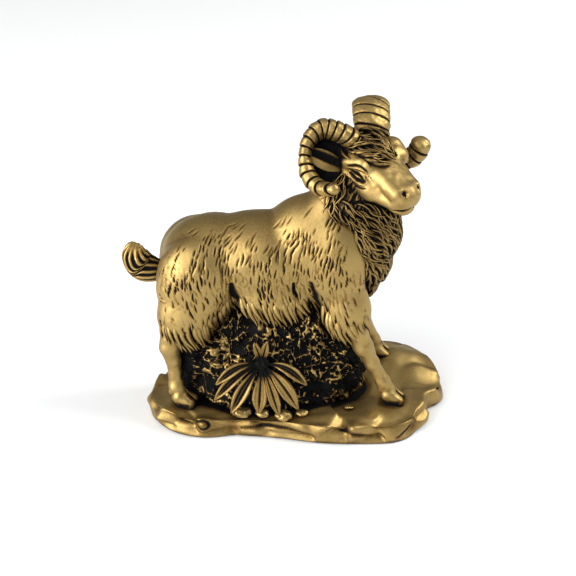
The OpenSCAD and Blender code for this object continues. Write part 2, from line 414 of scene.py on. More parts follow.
def new_material(name):
    """Material with only a Principled shader, and its object coordinates in millimetres."""
    material = bpy.data.materials.new(name)
    material.use_nodes = True
    tree = material.node_tree
    tree.nodes.clear()
    shader = add_node(tree, "ShaderNodeBsdfPrincipled")
    add_node(tree, "ShaderNodeOutputMaterial", links={"Surface": shader.outputs[0]})
    place = add_node(tree, "ShaderNodeTexCoord").outputs["Object"]
    scaled = add_node(tree, "ShaderNodeVectorMath", {"operation": "SCALE"}, {"Scale": 1 / MM},
                      {0: place})
    return material, tree, shader, scaled.outputs[0]


def math_node(tree, operation, a, b):
    """Arithmetic of a socket with a socket or a number."""
    node = add_node(tree, "ShaderNodeMath", {"operation": operation}, links={0: a})
    if isinstance(b, (int, float)):
        node.inputs[1].default_value = b
    else:
        tree.links.new(b, node.inputs[1])
    return node.outputs[0]


def noise(tree, place, grain, detail):
    """Noise whose lumps are about that many millimetres across."""
    values = {"Scale": 1 / grain, "Detail": detail, "Roughness": NOISE_ROUGHNESS}
    node = add_node(tree, "ShaderNodeTexNoise", values=values, links={"Vector": place})
    return node.outputs["Fac"]


def ranged(tree, value, low, high):
    """Socket from 0 to 1 spread between two numbers."""
    return add_node(tree, "ShaderNodeMapRange", values={"To Min": low, "To Max": high},
                    links={"Value": value}).outputs[0]


def bumped(tree, shader, height, strength, reach):
    """Bump of a height socket on the shader, reach in millimetres."""
    bump = add_node(tree, "ShaderNodeBump", values={"Strength": strength, "Distance": reach * MM},
                    links={"Height": height})
    tree.links.new(bump.outputs[0], shader.inputs["Normal"])


# %% Antique gold paste over black wash
# The second colour is the gold as it looks in shade, a painted shade tone. The first is the gold
# itself and the third the black wash.
GOLD, SHADED_GOLD, BLACK = linear("A58C57"), linear("6B5127"), linear("030303")
HOLLOW_REACH = 2.2


def weighted(tree, *terms):
    """Sum of sockets and numbers, where each socket comes with its weight."""
    total = None
    for term in terms:
        if isinstance(term, tuple):
            term = math_node(tree, "MULTIPLY", *term)
        total = term if total is None else math_node(tree, "ADD", total, term)
    return total


def eased(tree, value, low, high):
    """Smooth step of a socket from 0 at low to 1 at high."""
    return add_node(tree, "ShaderNodeMapRange", {"interpolation_type": "SMOOTHSTEP"},
                    {"From Min": low, "From Max": high}, {"Value": value}).outputs[0]


def antique_gold(name, cover=0.0):
    """Gold paste rubbed over black. cover adds wash all over."""
    material, tree, shader, place = new_material(name)
    cut = add_node(tree, "ShaderNodeAttribute", {"attribute_name": "wash"}).outputs["Fac"]
    open_sky = add_node(tree, "ShaderNodeAmbientOcclusion", {"samples": 8},
                        {"Distance": HOLLOW_REACH * MM}).outputs["AO"]
    hidden = math_node(tree, "SUBTRACT", open_sky, 1.0)
    ragged = math_node(tree, "SUBTRACT", noise(tree, place, 0.5, 4.0), 0.5)
    rubbed = math_node(tree, "SUBTRACT", noise(tree, place, 9.0, 2.0), 0.5)
    total = weighted(tree, cut, (hidden, -1.1), (ragged, 0.5), (rubbed, 0.3))
    mask = eased(tree, total, 0.36 - cover, 0.8 - cover)
    # Where cuts, hollows and the rub noise thin the paste, the gold turns to its shade tone: thin
    # paste and painted shade together.
    thin_paste_and_shade = eased(tree, total, -0.12, 0.5)
    tone = add_node(tree, "ShaderNodeMix", {"data_type": "RGBA"}, {6: GOLD, 7: SHADED_GOLD}, {0: thin_paste_and_shade})
    colour = add_node(tree, "ShaderNodeMix", {"data_type": "RGBA"}, {7: BLACK},
                      {0: mask, 6: tone.outputs[2]})
    tree.links.new(colour.outputs[2], shader.inputs["Base Color"])
    tree.links.new(ranged(tree, mask, 0.95, 0.0), shader.inputs["Metallic"])
    gloss = weighted(tree, (noise(tree, place, 1.6, 4.0), 0.16), (mask, 0.35), 0.38)
    tree.links.new(gloss, shader.inputs["Roughness"])
    shader.inputs["Specular IOR Level"].default_value = 0.12
    grain, dents = noise(tree, place, 0.25, 3.0), noise(tree, place, 2.2, 3.0)
    relief = weighted(tree, (grain, 0.16), (dents, 0.6))
    bumped(tree, shader, relief, 0.3, 0.25)
    return material


gold = antique_gold("antique_gold_paste_over_black_wash")
dark_gold = antique_gold("antique_gold_thinly_rubbed", cover=0.14)

# %% [markdown]
# ## The body
# Barrel, haunches and shoulders are lumps on both sides of the spine, and the neck rises from the
# front one. A soft join keeps the back smooth, while the creases beside the legs stay visible.
# The fleece is cut in afterwards. Short tapered strokes lean back high on the flank and forward low
# down, and some lie side by side in groups of four. Creases part the belly from haunch and shoulder.

# %% Body lumps
haunch = [mass(-32.5, -8, 51, 12.8, 8.5, 15.5), mass(-36, -10, 39.6, 9.2, 6.6, 10.8)]
shoulder = [mass(12, -8, 57, 10.5, 7, 17), mass(15.8, -9.7, 41.6, 8.0, 5.8, 11)]
skirt = [mass(-8, -8.8, 46.5, 12.2, 5.7, 8.4)]
body_lumps = [mass(-28, 0, 55, 16, 13.6, 15.2), mass(-12, 0, 56.3, 22, 14.4, 15.4),
              mass(4, 0, 59.8, 16.5, 13, 18), mass(-26, 5.5, 64.6, 6, 5, 3.8),
              limb([8, -0.3, 68], [12.4, -0.3, 76.5], 11.2, 8.0)]
body_lumps += haunch + shoulder + skirt + [mirrored(lump) for lump in haunch + shoulder + skirt]
body_field = pressed(body_lumps, 0.75)
body = cast(body_field, [[-36, 0, 52], [14, 0, 59]], 44, 212, 300, 56)
print("body skin", body.grid.shape)

# %% Lower edges of the fleece
BELLY = [[-18.8, 13.8, 43.6], [-12, 14.2, 42.8], [-4, 14.2, 42.8], [3.4, 13.4, 43.6]]
SEAT = [[-20.5, 13, 43.5], [-24, 15, 38.5], [-30, 16, 35.8], [-37, 16.2, 34.6], [-44, 13.5, 36.4]]
ELBOW = [[7.2, 13.5, 41.5], [11, 14.8, 38], [16, 15.2, 36], [22.4, 12.8, 38]]
EDGES = (("belly", BELLY, 1.7), ("haunch", SEAT, 1.8), ("elbow", ELBOW, 1.8))
CREASES = (([-20.8, 14, 53], [-19.6, 12, 39], 1.0), ([3.8, 13.6, 53], [5.8, 12, 40], 1.1),
           ([-1, 14, 53], [0.5, 14, 44], 0.5))

# %% Hair direction on the body
lean_at = np.linspace(20, 100, 81)
lean = -0.25 + 0.6 * ramp(lean_at, 43, 72)
sheared = np.concatenate([[0], np.cumsum((lean[1:] + lean[:-1]) / 2)])


def fleece_flow(p):
    """Direction of the hair: back and down near the spine, forward and down above the fringe."""
    return np.array([-np.interp(p[2], lean_at, lean), 0, -1.0])


def strands(p, across, along, seed):
    """Long narrow grooves along the hair: lattice noise stretched along it, near its zero lines."""
    q = np.stack([p[..., 0] - np.interp(p[..., 2], lean_at, sheared), p[..., 1], p[..., 2]], -1)
    bent = [lattice_noise(p, 5, seed + 1), lattice_noise(p, 5, seed + 2), 0 * q[..., 0]]
    q = q + 0.5 * np.stack(bent, -1)
    value = lattice_noise(q / np.array([across, across, along]), 1.0, seed)
    return np.exp(-(value / 0.2)**2)


def cut_fleece(skin, count, keep, length, width, depth, group=1, dark=1.0):
    """Strokes at random vertices that pass the test, side by side in groups, each tilted and sized
    by chance. dark scales their wash. Depth and wash fade towards the back."""
    rows = random.integers(4, skin.grid.shape[0] - 4, count * 8)
    columns = random.integers(0, skin.grid.shape[1], count * 8)
    chance = random.random(count * 8)
    passed = keep(skin.grid[rows, columns], skin.normal[rows, columns]) > chance
    for row, column in list(zip(rows[passed], columns[passed]))[:count]:
        flow = fleece_flow(skin.grid[row, column]) + random.normal(0, 0.1, 3)
        across = unit(np.cross(skin.normal[row, column], flow))
        for k in range(group):
            offset = across * width * 3.4 * (k - (group - 1) / 2)
            offset = offset + unit(flow) * random.normal(0, 0.25 * length)
            at = skin.nearest(skin.grid[row, column] + offset) if group > 1 else ([row], [column])
            size = random.uniform(0.65, 1.35)
            low = 0.55 + 0.45 * ramp(skin.grid[row, column, 2], 72, 56)
            bend, wash = random.normal(0, 0.06), random.uniform(0.4, 1.0) * low * dark
            skin.stroke((at[0][0], at[1][0]), flow, length * size, width * (0.6 + 0.4 * size),
                        depth * size * low, bend, wash, 1.3)


def flank(p, n):
    """Chance of a stroke: highest in the middle of the flank, lower near the fringe, and none on the
    back, the neck and the end of the rump."""
    side = ramp(np.abs(n[:, 1]), 0.2, 0.6)
    level = ramp(p[:, 2] - 5 * lattice_noise(p, 9, 21), 78, 66) * (1 - 0.6 * ramp(p[:, 2], 52, 42))
    neck = ramp(p[:, 0], 12, 19) * ramp(p[:, 2], 46, 58)
    return side * level * (1 - neck) * ramp(p[:, 0], -44.5, -40.5)


# %% Fleece cut into the body
place, facing = body.grid, body.normal
hairy = ramp(place[..., 2], 76, 54) * (0.3 + 0.7 * ramp(facing[..., 2], 0.8, -0.2)) + 0.12
hairy = hairy * (1 - ramp(place[..., 0], 13, 20) * ramp(place[..., 2], 54, 62))
patchy = ramp(lattice_noise(place, 7, 3), -0.35, 0.5)
coarse, fine = strands(place, 1.5, 9, 11), strands(place, 0.85, 5, 12)
body.height = -(0.12 * coarse * (0.3 + 0.7 * patchy) + 0.08 * fine) * hairy
body.height += 0.3 * lattice_noise(place, 6, 1) * hairy
# The last term is painted shade: faces that look up, the back most of all, get wash and turn darker.
body.wash = (0.12 * coarse * patchy + 0.06 * fine) * hairy + 0.16 * ramp(facing[..., 2], 0.3, 0.9)
cut_fleece(body, 46, flank, 4.2, 0.36, 0.42, 4, 0.95)
cut_fleece(body, 560, flank, 4.2, 0.34, 0.26, 1, 0.62)
for side, _ in SIDES:
    for start, end, width in CREASES:
        start, end = start * np.array([1, side, 1]), end * np.array([1, side, 1])
        body.line([start, (start + end) / 2 + 0.4, end], width, 1.1, 1.1)
    for _, guide, spacing in EDGES:
        guide = np.array(guide) * [1, side, 1]
        length = np.linalg.norm(np.diff(guide, axis=0), axis=1).sum()
        for p in spline(guide, int(length / spacing)):
            row, column = body.nearest(p + random.normal(0, 0.5, 3) + Z * random.uniform(-0.5, 3.5))
            flow = [0.3 + random.normal(0, 0.08), 0, -1]
            body.stroke((row[0], column[0]), flow, random.uniform(7, 12), 0.5, 1.0, 0.06, 1.0, 2.0)
finish_skin("body_casting", body.settle(0.4), gold, "torso")

# %% [markdown]
# ## Locks
# Mane, fringes and forelock are hundreds of pointed locks. Each is a small closed tube of fewer
# than eighty faces that starts on a skin, follows it, curls to one side and ends in a point. All
# the locks of a group are worked out together, as one array of lock, ring, side and coordinate.

# %% Lock builder
def grow_locks(name, field, root, flow, length, width, curl, lift, material, nodes=(), rise=0.7,
               hang=0.0, sink=0.0, rings=8, sides=7):
    """Tapered locks. A ring lies at root + length * (flow * s + side * sway), where sway is
    curl * (sin(1.35 pi s) + 0.35 s), and is then laid on the field at a height of lift times s. hang
    lets the far end keep clear of the field, and sink sets the root that far inside it. The section
    is an ellipse peaked on top."""
    s = np.linspace(0, 1, rings)
    normal = outward(field, root)
    flow = unit(flow - (flow * normal).sum(1, keepdims=True) * normal)
    side = np.cross(normal, flow)
    sway = curl[:, None] * (np.sin(s * math.pi * 1.35) + 0.35 * s)
    path = root[:, None] + flow[:, None] * (length[:, None] * s)[..., None] \
        + side[:, None] * (length[:, None] * sway)[..., None]
    for _ in range(3):
        gap = field(path) - (width * 0.25)[:, None] - lift[:, None] * s + sink * (1 - s)**1.5
        gap = np.where(gap > 0, gap * (1 - hang * s), gap)
        path = path - outward(field, path) * gap[..., None]
    along = unit(np.gradient(path, axis=1))
    up = outward(field, path)
    across = unit(np.cross(along, up))
    up = np.cross(across, along)
    taper = np.sin(math.pi * (0.13 + 0.86 * s)**0.8)**0.75
    half = width[:, None] * taper
    turn = turns(sides) + math.pi / 2
    flat, high = np.cos(turn), np.sin(turn)
    high = np.where(high > 0, high**1.6, high * 0.5)
    ring = path[:, :, None] + across[:, :, None] * (half[..., None] * flat)[..., None] \
        + up[:, :, None] * (rise * half[..., None] * high)[..., None]
    start = path[:, 0] - along[:, 0] * (half[:, 0] * 0.6)[:, None]
    end = path[:, -1] + along[:, -1] * (half[:, -1] * 1.5)[:, None]
    count = len(root)
    points = np.concatenate([ring.reshape(count, -1, 3), start[:, None], end[:, None]], 1)
    shade = np.clip(0.75 - 0.95 * high, 0, 1) + (0.35 - sink) * np.exp(-s * 6)[:, None]
    shade = np.broadcast_to(shade.ravel(), (count, rings * sides))
    shade = np.concatenate([shade, np.full((count, 2), 0.4)], 1)
    quads, fans = tube_faces(count, rings, sides)
    wash = np.clip(shade, 0, 1).ravel()
    piece = make_mesh(name, points.reshape(-1, 3), quads, fans, wash, material)
    finish_piece(piece, *nodes)


def fringe(name, guide, side):
    """Locks in two staggered rows along a guide curve on the body: their ends hang free."""
    count = int(np.linalg.norm(np.diff(guide, axis=0), axis=1).sum() / FRINGE_SPACING)
    line = spline(guide, count)
    roots = np.concatenate([line + Z * 3.0, (line[1:] + line[:-1]) / 2 + Z * 4.6])
    roots = roots + random.normal(0, 0.35, roots.shape)
    for _ in range(4):
        roots = roots - outward(body_field, roots) * body_field(roots)[:, None]
    n = len(roots)
    flows = np.array([0.3, 0, -1.0]) + random.normal(0, 0.1, (n, 3))
    length = FRINGE_LENGTH * random.uniform(0.8, 1.25, n)
    width = FRINGE_WIDTH * random.uniform(0.75, 1.2, n)
    curl = FRINGE_CURL * side * random.uniform(0.6, 1.4, n)
    lift = random.uniform(0.3, 0.9, n)
    grow_locks(name, body_field, roots, flows, length, width, curl, lift, gold, hang=0.85, sink=1.5,
               rings=10)


# %% Fringes under the belly, haunches and shoulders
FRINGE_SPACING, FRINGE_LENGTH, FRINGE_WIDTH, FRINGE_CURL = 1.9, 8.5, 1.05, 0.07
for side, word in SIDES:
    for part, guide, _ in EDGES:
        fringe(f"{part}_fringe_{word}", np.array(guide) * [1, side, 1], side)

# %% [markdown]
# ## Neck and mane
# The neck below the mane stays dark, so that the locks carry most of the gold. They run down and
# forward from behind the horns, hang straight at the front and end on the chest. They are finest up
# beside the horns and widest low down.

# %% Neck and mane
neck_lumps = [mass(9.5, -0.3, 67, 11.5, 11.5, 11), mass(16.5, -0.6, 77, 10, 9.8, 9.2),
              mass(20.5, -1, 84, 7.8, 7.6, 7.4), mass(22.4, -1.6, 75.4, 9.9, 9.0, 9.4),
              mass(22.8, -2.4, 66.5, 9.7, 9.2, 9.5), mass(21.5, -2, 56.5, 7.9, 8, 8.5),
              mass(21.2, -1, 48.5, 4.2, 4.6, 5.4)]
neck_field = pressed(neck_lumps, 0.8)
neck = cast(neck_field, [[21, -1.5, 49], [21.5, -2, 66], [20, -2, 84]], 26, 170, 190, 30, up=-X)
neck_strands = strands(neck.grid, 1.3, 8, 71)
neck.height = -0.5 * neck_strands
neck.wash += 0.55 + 0.5 * neck_strands
finish_skin("neck_casting", neck.settle(0.4), dark_gold, "neck_mane")


def scatter(skin, count, gap, keep):
    """Random vertices of a skin that pass the test and stand more than gap apart, tried in turn."""
    rows = random.integers(1, skin.grid.shape[0] - 1, count * 12)
    columns = random.integers(0, skin.grid.shape[1], count * 12)
    points = skin.grid[rows, columns]
    points = points[keep(points)]
    chosen = points[:1]
    for p in points[1:]:
        if len(chosen) < count and ((chosen - p)**2).sum(1).min() > gap * gap:
            chosen = np.vstack([chosen, p])
    return chosen


def under_head(p):
    """Rough distance from the head's two main masses."""
    skull, muzzle = mass(-4.5, 0, 0, 8.8, 8, 8.2), limb([3, 0, -2.5], [14.5, 0, -4.5], 6.5, 4)
    return pressed([skull, muzzle], 0.5)(to_head(p))


def under_mane(p):
    """Mane region: in front of a line from behind the horn to the chest, and clear of the head."""
    edge = np.interp(p[:, 2], [47, 56, 67.5, 83], [23.2, 22.2, 15.2, 8.8])
    along, _, above = to_head(p).T
    clear = ((above < -9.0) | (along < -3.5)) & (under_head(p) > 0.8)
    return (p[:, 0] > edge) & (p[:, 2] < 93) & clear


mane_roots = scatter(neck, 560, 1.25, under_mane)
mane_roots = mane_roots[np.argsort(mane_roots[:, 2])]
round_front = np.arctan2(mane_roots[:, 1] + 2, mane_roots[:, 0] - 20)
n = len(mane_roots)
forwards = 0.8 * np.abs(np.sin(round_front)) * ramp(mane_roots[:, 2], 52, 66)
mane_flow = np.stack([forwards, -0.6 * np.sin(round_front), -np.ones(n)], 1)
mane_flow += random.normal(0, 0.16, mane_flow.shape)
mane_width = random.uniform(0.85, 1.15, n) * (0.42 + 0.34 * ramp(mane_roots[:, 2], 80, 60))
mane_length = random.uniform(4.5, 8.5, n)
mane_curl = random.choice([-1, 1], n) * random.uniform(0.05, 0.18, n)
grow_locks("mane_locks", neck_field, mane_roots, mane_flow, mane_length, mane_width, mane_curl,
           random.uniform(0.1, 0.9, n), dark_gold, rise=1.0, sides=6)

# %% [markdown]
# ## Head
# The head is cast in its own axes: along the muzzle, to the ram's left, and up. Brows, cheeks, jaw
# and nose are lumps. Eyelids, nostrils, mouth and jaw line are grooves and ridges laid on the skin.
# Wash fills the eye and lies where hair, throat and the back of the skull begin.

# %% Head lumps and features
HEAD_SHIFT = np.array([-0.5, -1.1, 0.0])
head_lumps = [mass(-4.5, 0, 0, 8.8, 8, 8.2), limb([3, 0, -0.9], [13.4, 0, -2.9], 5.2, 3.6),
              limb([2, 0, -5.2], [13.2, 0, -6.6], 5.0, 2.9), mass(14.4, 0, -3.2, 3.4, 4.9, 3.8),
              mass(13.8, 0, -7.6, 3.0, 3.6, 2.0)]
for side, _ in SIDES:
    head_lumps += [limb([-5.6, side * 7.1, 0.3], [1.3, side * 5.6, 2.6], 2.0, 2.4),
                   mass(0.5, side * 7.2, -1.7, 3.2, 1.9, 1.6),
                   mass(1.8, side * 5.5, -5.0, 6.0, 3.3, 4.4),
                   mass(-4.5, side * 5.6, -4.2, 4.5, 3.4, 4.0),
                   limb([2, side * 3.6, 0.4], [12.6, side * 3.2, -1.8], 3.2, 2.7),
                   limb([5, side * 4.2, -5.4], [12.4, side * 2.9, -5.8], 3.2, 2.6)]
head_lumps += [limb([-1.6, 7.7, 2.9], [1.6, 7.9, 1.6], 3.3, 3.0)]
head_field = pressed(head_lumps, 0.6)
head = cast(head_field, [[-5, 0, -1], [4, 0, -2], [12.4, 0, -4]], 16, 230, 260, 60)

# Four corners along and above, then width, depth and wash: lids, eye, ridges and folds round it.
EYE_LINES = (([-4.8, -2.1], [-2.2, -1.2], [0.6, -1.3], [2.8, -2.1], 0.34, 0.8, 1.0),
             ([-4.4, -2.9], [-2.2, -3.0], [0.6, -3.0], [2.4, -2.6], 0.62, 0.9, 1.4),
             ([-5.4, -1.4], [-2.2, -0.2], [1.0, -0.3], [3.2, -1.6], 0.36, -0.45, 0.0),
             ([-4.8, -4.0], [-2.0, -4.4], [0.8, -4.2], [2.8, -3.4], 0.36, -0.4, 0.0),
             ([-5.6, -1.0], [-2.4, 0.9], [0.8, 0.8], [3.2, -0.6], 0.34, 0.6, 1.0),
             ([-4.6, -5.3], [-1.8, -5.8], [1.0, -5.4], [3.0, -4.4], 0.34, 0.4, 0.7))
# Points along, to one side and above, then width, depth and wash: nostril, its rim, mouth, jaw.
FACE_LINES = (([14.9, 3.1, -0.2], [15.6, 3.0, -0.7], [16.0, 2.9, -1.2], 0.6, 0.9, 1.2),
              ([14.2, 3.8, 0.6], [16.4, 3.2, 0.2], [17.4, 2.4, -1.4], 0.4, -0.3, 0.0),
              ([17.8, 0.8, -6.0], [16.6, 2.6, -6.6], [14.6, 3.8, -7.0], [12.0, 4.2, -7.0],
               0.34, 0.8, 1.0),
              ([-1.0, 8, -8.5], [3.4, 8, -9.4], [8, 5.4, -8.0], [12.6, 4.4, -7.2], 0.5, 0.4, 0.7))
for side, _ in SIDES:
    for *corners, width, depth, wash in EYE_LINES:
        corners = [[along + 1.9, side * 9.2, above + 1.2] for along, above in corners]
        head.line(corners, width, depth, wash)
    socket = ((head.grid - np.array([0.2, side * 9.0, -1.8])) / np.array([3.4, 2.8, 0.9]))**2
    head.wash += 0.8 * np.exp(-socket.sum(-1))
    for *corners, width, depth, wash in FACE_LINES:
        head.line(np.array(corners) * [1, side, 1], width, depth, wash)
along, aside, above = np.moveaxis(head.grid, -1, 0)
throat_and_back = ramp(above, -8.6, -9.8) * ramp(along, 12, 9) + ramp(along, -5.2, -6.8)
crown_hair = ramp(above, 2.6, 3.8) * ramp(along, 4.4, 2.8) * (aside > -7) * (aside < 4.4)
cheek_hair = ramp(above, -3.4, -5.0) * ramp(along, 1.2, -0.6)
cheek_hair = cheek_hair * ramp(lattice_noise(head.grid, 1.8, 83), -0.6, 0.1)
under = np.clip(throat_and_back + crown_hair + 0.8 * cheek_hair, 0, 1)
head.wash = np.maximum(head.wash, 0.95 * under)
head.height -= 0.4 * under * strands(head.grid[..., [0, 2, 1]], 1.2, 5, 81)
head.height += 0.12 * lattice_noise(head.grid, 1.6, 8)
head.settle(0.5)
head.grid, head.tips = in_head(head.grid + HEAD_SHIFT), in_head(head.tips + HEAD_SHIFT)
finish_skin("head_casting", head, gold, "head")

# %% [markdown]
# ## Horns
# A horn is a thick ellipse carried along a spiral: it leaves the head backwards, opens out to the
# side, curls under the ear and ends blunt. Growth rings are steps in its radius, with a groove
# and wash in front of each step. On the near horn they stand closest together at the root. A thin
# black disc in each horn's curl behind the ear is a painted shadow: the shade inside the curl.

# %% Horns
def sweep(path, half_wide, half_high, up, columns, section=None):
    """Closed tube: an ellipse of those half sizes at each point of the path. section reshapes it."""
    direction, side, normal = axes_along(path, up)
    turn = turns(columns)
    wide, high = np.cos(turn) * half_wide[:, None], np.sin(turn) * half_high[:, None]
    if section is not None:
        wide, high = section(turn, wide, high)
    grid = path[:, None] + side[:, None] * wide[..., None] + normal[:, None] * high[..., None]
    return Skin(grid, path[[0, -1]])


# Place and axes, in the head's frame, of the dark disc that is a painted shadow inside each horn's
# curl.
CURL_SHADOW_AT = np.array([-12.8, -11.0, -2.4])
CURL_SHADOW_AXES = np.array([[0.654, 0.743, 0.139], [-0.544, 0.335, 0.770], [0.525, -0.579, 0.623]])
HORN_ROWS, HORN_COLUMNS = 300, 96
# Each row of a horn: a place in the head's axes, then half its width and half its height.
near_horn = [[-8.5, -4.0, 4.3, 3.5, 4.8], [-11.7, -6.5, 6.5, 3.1, 5.0],
             [-16.5, -10.6, 6.9, 2.9, 4.9], [-17.3, -14.9, 4.0, 2.3, 3.9],
             [-15.8, -17.5, -0.3, 1.9, 3.3], [-12.2, -18.6, -4.8, 2.5, 3.1],
             [-7.4, -18.4, -6.6, 2.5, 2.7], [-3.0, -18.0, -5.0, 2.1, 2.3],
             [0.2, -17.6, -3.0, 1.7, 1.9]]
far_horn = [[-9, 4.0, 3.8, 3.8, 5.6], [-12.2, 6.4, 6.6, 3.7, 6.0],
            [-17.0, 10.3, 8.0, 3.4, 6.0], [-19.2, 14.4, 5.0, 3.0, 4.8],
            [-18.4, 16.4, -0.8, 2.7, 3.6], [-15.6, 17.6, -6.4, 2.6, 3.0],
            [-10.5, 18.4, -9.6, 2.8, 3.0], [-5.2, 19.2, -8.4, 3.1, 3.3],
            [-2.6, 20.1, -4, 3.3, 3.4], [-1.8, 20.3, 1.6, 3.0, 3.1]]
FAR_CURL_AXIS = unit(np.array([0.93, 0.3, -0.1]))
for (side, word), rings, ease, stations in zip(SIDES, (15, 17), (1.35, 1.0), (near_horn, far_horn)):
    rows = spline(stations, HORN_ROWS)
    path = in_head(rows[:, :3])
    flattest = np.linalg.svd(path - path.mean(0))[2][2]
    curl_axis = flattest * np.sign(flattest @ HEAD_AXES[1]) if side < 0 else FAR_CURL_AXIS
    s = np.linspace(0, 1, HORN_ROWS)[:, None]
    turn = turns(HORN_COLUMNS)
    phase = (rings * (1 - (1 - s)**ease) + 0.25 * np.sin(turn) * side + 0.3) % 1
    clear_of_tip = ramp(s, 0.985, 0.94)
    groove = np.exp(-(np.minimum(phase, 1 - phase) / 0.10)**2) * clear_of_tip
    blunt = np.sqrt(np.clip(1 - ((s[:, 0] - 0.96) / 0.04).clip(0, 1)**2, 0.0025, 1))
    horn = sweep(path, rows[:, 3] * blunt, rows[:, 4] * blunt, curl_axis, HORN_COLUMNS)
    horn.height = (0.30 * phase**0.8 - 0.1) * clear_of_tip - 0.55 * groove
    horn.height += 0.1 * lattice_noise(horn.grid, 1.6, 5) + 0.08 * lattice_noise(horn.grid, 0.7, 9)
    horn.wash = np.clip(groove * 1.05, 0, 1)
    horn.settle(1.2)
    finish_skin(f"horn_{word}_ribbed", horn, gold, f"horn_{word}")
    # Painted shadow: a black disc with hair marks fills the curl behind the ear, where the curl is
    # in shade.
    shadow_disc = pressed([mass(0, 0.3, 0, 8.3, 8.6, 1.8)], 0.3)
    curl_shadow = cast(shadow_disc, [[-1.5, 0, 0], [1.5, 0, 0]], 12, 60, 110, 24)
    curl_shadow.height -= 0.35 * strands(curl_shadow.grid, 1.1, 4, 91)
    curl_shadow.wash += 1.6
    curl_shadow.settle()
    flip = np.array([1, -side, 1])
    curl_shadow.grid, curl_shadow.tips = (in_head((CURL_SHADOW_AT + g @ CURL_SHADOW_AXES) * flip) for g in (curl_shadow.grid, curl_shadow.tips))
    finish_skin(f"horn_{word}_web", curl_shadow, dark_gold)

# %% [markdown]
# ## Ears and forelock
# An ear is a flat tube bent into a cup, with a fold down its middle. The forelock is a fan of thin
# strands that starts between the horns and falls over the forehead.

# %% Ears
def ear_section(turn, wide, high):
    """Cup: both edges rise with the square of the width, and a groove runs down the inside."""
    inside = np.sin(turn) > 0
    return wide, high + 0.11 * wide**2 - inside * 0.55 * np.exp(-((wide - 0.4) / 0.9)**2)


EAR_ROWS, EAR_COLUMNS = 70, 56
ear_turn = turns(EAR_COLUMNS)
for side, word in SIDES:
    stations = spline([[-6.0, side * 6.5, -4.2, 1.0, 0.8], [-8.6, side * 8.8, -3.0, 2.1, 0.9],
                       [-11.6, side * 12, -1.8, 3.0, 0.9], [-14.8, side * 15, -0.4, 2.4, 0.7],
                       [-17.0, side * 17.2, 0.6, 0.4, 0.35]], EAR_ROWS)
    opening = 0.75 * HEAD_AXES[0] + side * 0.35 * HEAD_AXES[1] + 0.55 * HEAD_AXES[2]
    path = in_head(stations[:, :3])
    ear = sweep(path, stations[:, 3], stations[:, 4], opening, EAR_COLUMNS, ear_section)
    hollow = np.exp(-((np.cos(ear_turn) + 0.3 * side) / 0.5)**4) * (np.sin(ear_turn) > 0)
    ear.wash += hollow * 1.1 * ramp(np.linspace(1, 0, EAR_ROWS), 0.04, 0.2)[:, None]
    finish_skin(f"ear_{word}_cupped", ear.settle(2.0), gold, f"ear_{word}")

# %% Forelock
def world_head(p):
    """The head's field, read at points in the row's frame."""
    return head_field(to_head(p) - HEAD_SHIFT)


def brow_hair(p):
    """Forelock region: the top of the head between the horns and over the forehead."""
    along, beside, above = to_head(p).T
    between_horns = (beside > -8.2) & (beside < 4.0) & (above > 2.4)
    return between_horns & (along > -10) & (along < 0.4 - 0.2 * beside)


forelock_roots = scatter(head, 170, 0.95, brow_hair)
forelock_roots = forelock_roots[np.argsort(-((forelock_roots - HEAD_AT) @ HEAD_AXES[0]))]
n = len(forelock_roots)
fan = ((forelock_roots - HEAD_AT) @ HEAD_AXES[1] + 0.6) / 7.6
sideways = 0.95 - 1.35 * ramp(fan, -1.0, 0.6)
forelock_flow = np.stack([np.ones(n), sideways, -0.2 * np.ones(n)], 1)
forelock_flow += random.normal(0, 0.12, (n, 3))
grow_locks("forelock_strands", world_head, forelock_roots, forelock_flow @ HEAD_AXES,
           random.uniform(4.0, 7.2, n), random.uniform(0.42, 0.7, n), -random.uniform(0.03, 0.16, n),
           random.uniform(0.3, 1.5, n), dark_gold, ("forelock",), rise=1.5, sides=6)

# %% [markdown]
# ## Legs and tail
# Each leg is cast over tapering limbs, with a knee, a fetlock, two dewclaws and a hoof of two toes.
# The tail is a swept tube with deep grooves along it, darker on its inner side.

# %% Legs
def leg_piece(node, hoof, path):
    """Leg skin over limbs between the path's points, with two toes that point along the hoof."""
    lumps = [limb(a[:3], b[:3], a[3], b[3]) for a, b in zip(path[:-1], path[1:])]
    ankle = np.array(path[-1][:3], float)
    ahead = unit(np.array(hoof, float))
    across = unit(np.cross(ahead, Z))
    for side, _ in SIDES:
        heel, toe = ankle + across * side * 1.3, ankle + ahead * 4.0 + across * side * 1.7 - Z * 1.6
        lumps.append(limb(heel - Z * 0.9, toe, 2.3, 1.6))
        lumps.append(limb(heel + ahead * 0.6 - Z * 3.4, toe - Z * 1.2, 1.9, 1.4))
        claw = ankle - ahead * 2.0 + across * side * 1.4 + Z * 1.6
        lumps.append(limb(claw, ankle - ahead * 2.8 + across * side * 1.6, 0.9, 0.7))
    line = [row[:3] for row in path] + [list(ankle + ahead * 2.4 - Z * 0.9)]
    skin = cast(pressed(lumps, 0.45), line, 9, 150, 96, 26, up=X)
    cleft = [ankle + ahead * 1.4 + Z * 1.4, ankle + ahead * 3.4 - Z * 0.2,
             ankle + ahead * 5.6 - Z * 1.2]
    skin.line(cleft, 0.4, 0.9)
    skin.wash = np.maximum(skin.wash, 0.85 * ramp(skin.grid[..., 2], ankle[2] - 1.2, ankle[2] - 2.8))
    skin.height += 0.10 * lattice_noise(skin.grid, 1.5, 3)
    finish_skin(f"{node}_hoofed", skin.settle(), gold, node)


